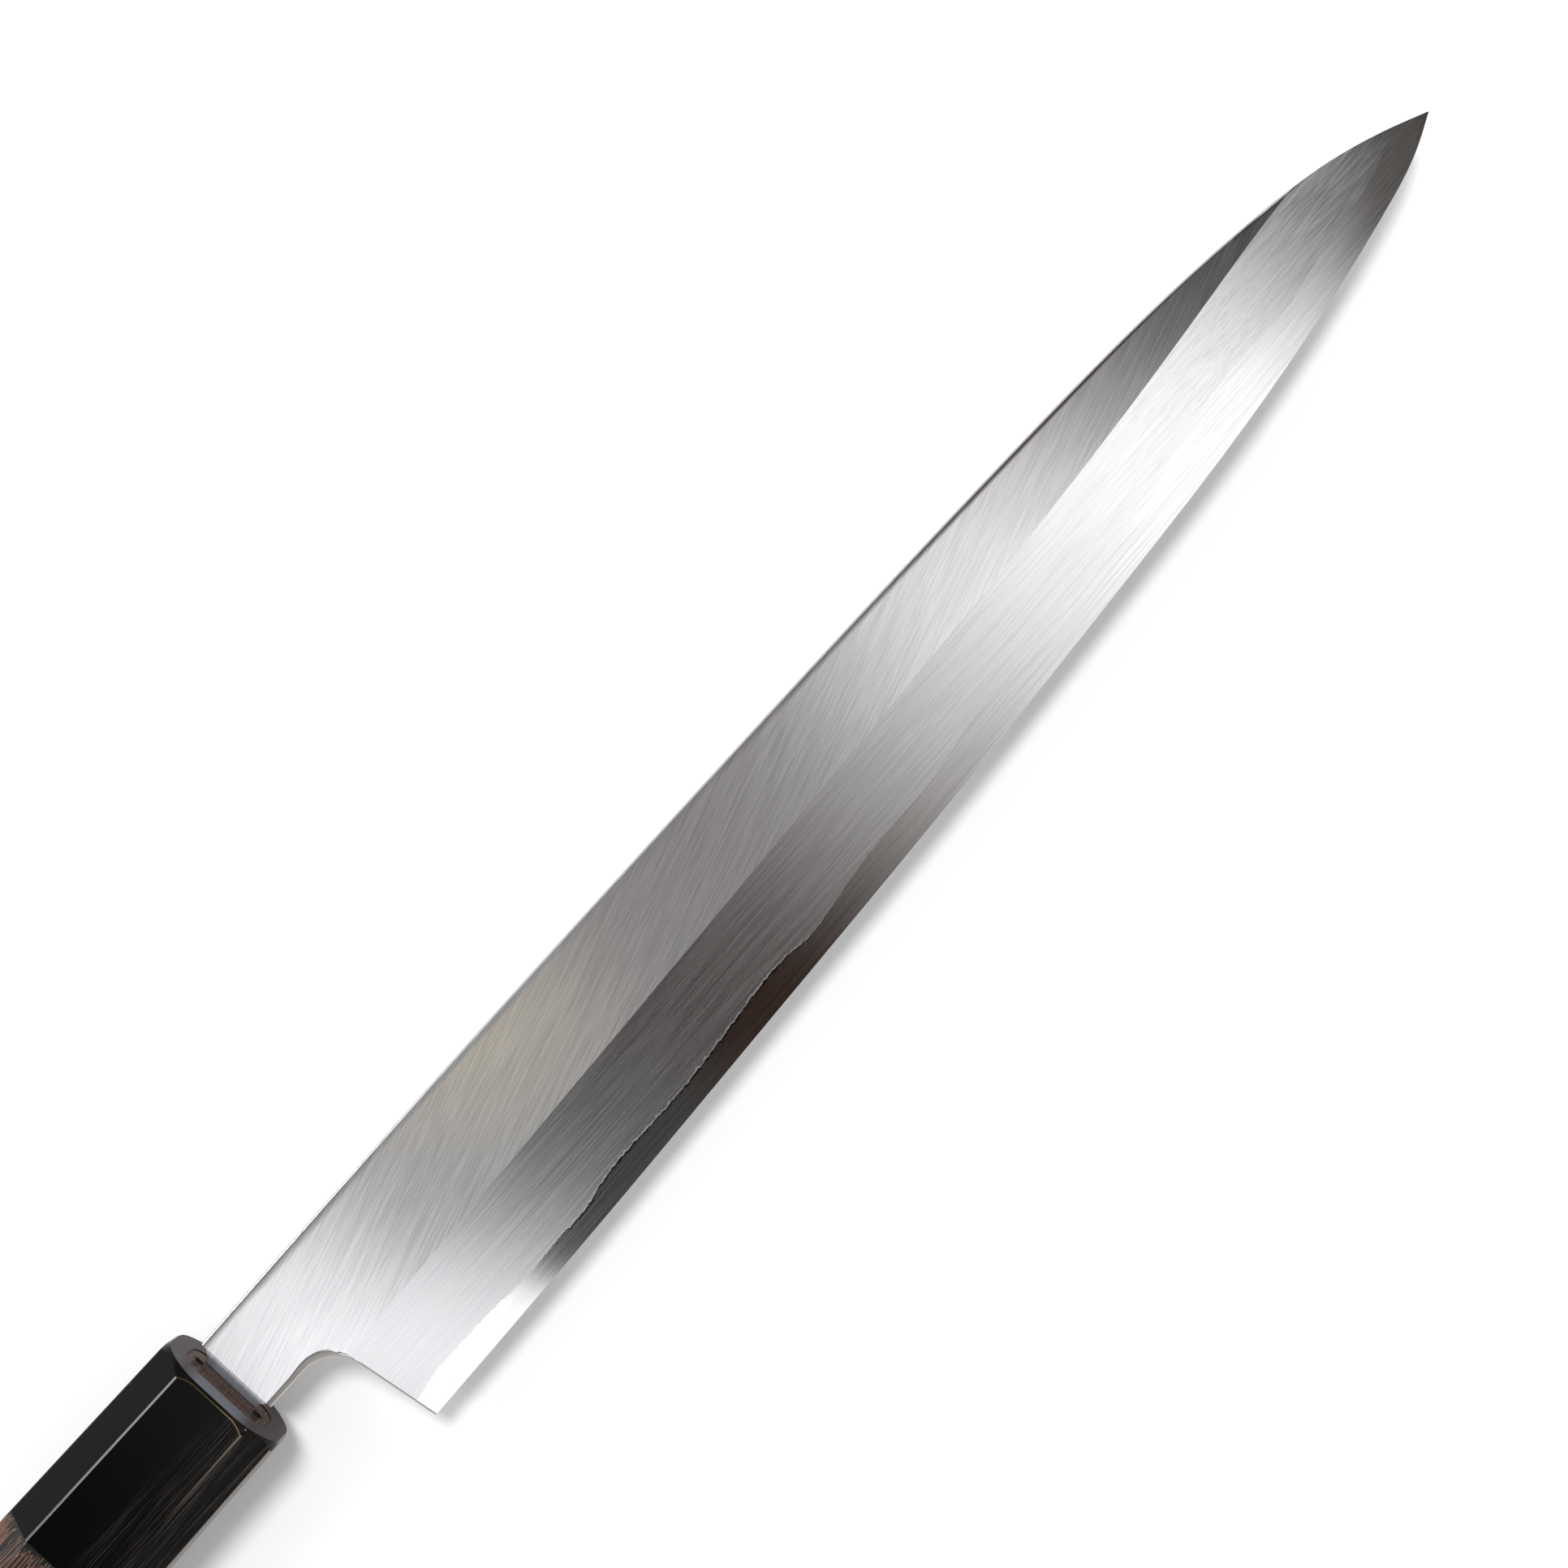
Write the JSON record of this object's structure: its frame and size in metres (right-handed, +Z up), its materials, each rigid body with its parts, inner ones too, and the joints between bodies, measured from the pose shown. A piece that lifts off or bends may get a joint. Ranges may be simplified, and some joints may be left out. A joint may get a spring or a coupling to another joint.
{
  "type": "yanagiba knife",
  "caption": "Long single-bevel slicing knife: iron and steel blade with a hollow back, tang in an eight-sided wooden handle with a horn ferrule.",
  "frame": {"origin": "centre of the bounding box in X and Y, at its lowest point, the lower flat of the handle at the butt", "axes": "+X along the handle towards the blade's tip, +Y from the cutting edge towards the spine, +Z up from the hollow back to the bevelled face"},
  "size_m": [0.4156, 0.0404, 0.024],
  "materials": {
    "soft_iron": "satin, fine ground scratches",
    "edge_steel": "polished on fine stones",
    "horn": "black buffalo horn, polished",
    "tenon_wood": "sawn hardwood, oiled by use",
    "grip_wood": "dark striped hardwood, waxed"
  },
  "bodies": {
    "root": {"blade_iron": "soft_iron", "blade_edge_steel": "edge_steel", "ferrule": "horn", "handle_tenon": "tenon_wood", "handle_grip": "grip_wood"}
  },
  "joints": []
}
